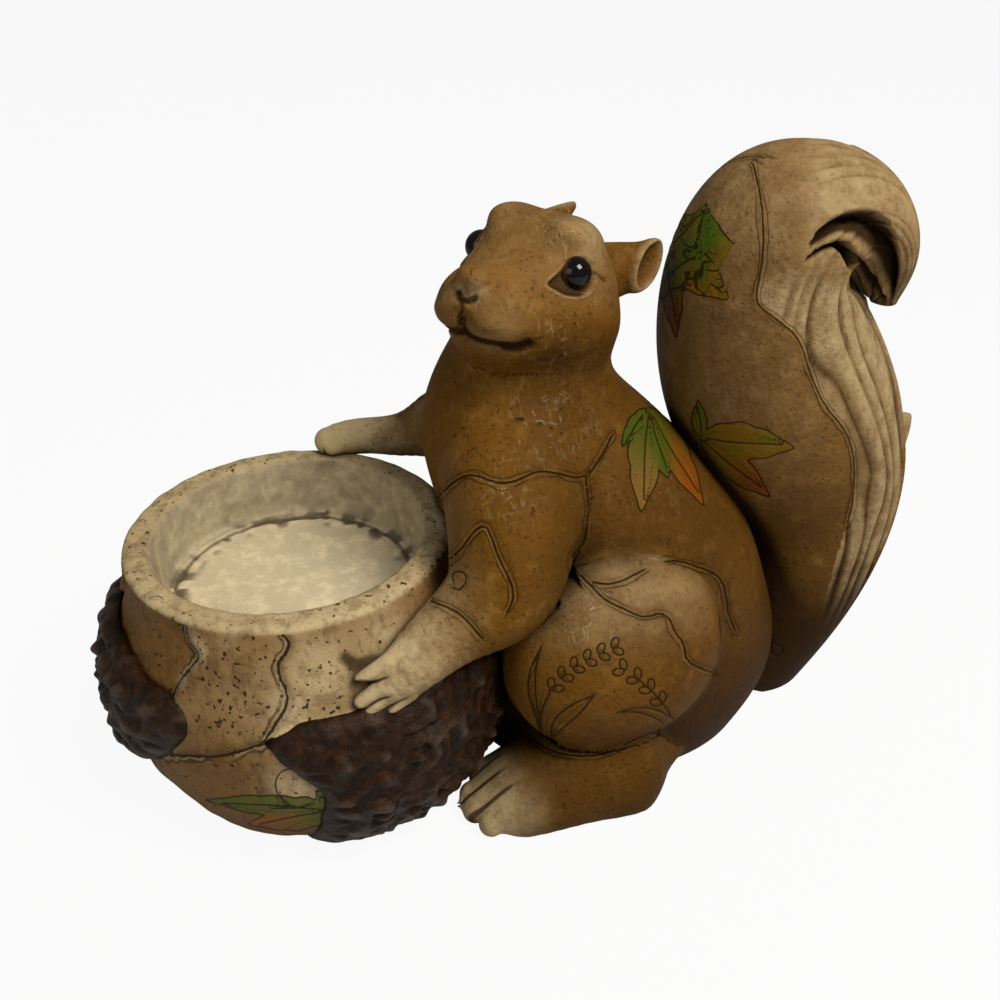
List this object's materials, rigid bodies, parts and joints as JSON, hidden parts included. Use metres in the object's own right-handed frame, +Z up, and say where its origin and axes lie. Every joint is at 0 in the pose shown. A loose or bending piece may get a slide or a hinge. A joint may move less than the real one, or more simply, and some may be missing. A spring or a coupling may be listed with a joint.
{
  "type": "squirrel figurine",
  "caption": "Seated squirrel figurine hugging a nut-shaped bowl with a round candle recess; head turned aside, tail curled up behind; painted cast resin with incised leaves.",
  "frame": {"origin": "on the table under the middle of the figure's bounding box", "axes": "+Z up; the squirrel faces -X with the bowl before it and the tail at +X; its left side is -Y"},
  "size_m": [0.2617, 0.127, 0.1855],
  "materials": {
    "fur": "painted resin, satin",
    "nut": "painted resin, matte",
    "husk": "painted resin, semi-gloss",
    "eye": "gloss",
    "dowel": "bare",
    "felt": "matte"
  },
  "bodies": {
    "root": {"torso": "fur", "tail": "fur", "head": "fur", "ear_left": "fur", "ear_right": "fur", "hind_leg_left": "fur", "hind_leg_right": "fur", "foreleg_left": "fur", "foreleg_right": "fur", "nut_bowl": "nut", "husk_front": "husk", "husk_left": "husk", "husk_right": "husk", "eye_left": "eye", "eye_right": "eye", "neck_dowel": "dowel", "tail_dowels": "dowel", "bowl_dowels": "dowel", "foreleg_dowels": "dowel", "hind_leg_dowels": "dowel", "felt_pads": "felt"}
  },
  "joints": []
}
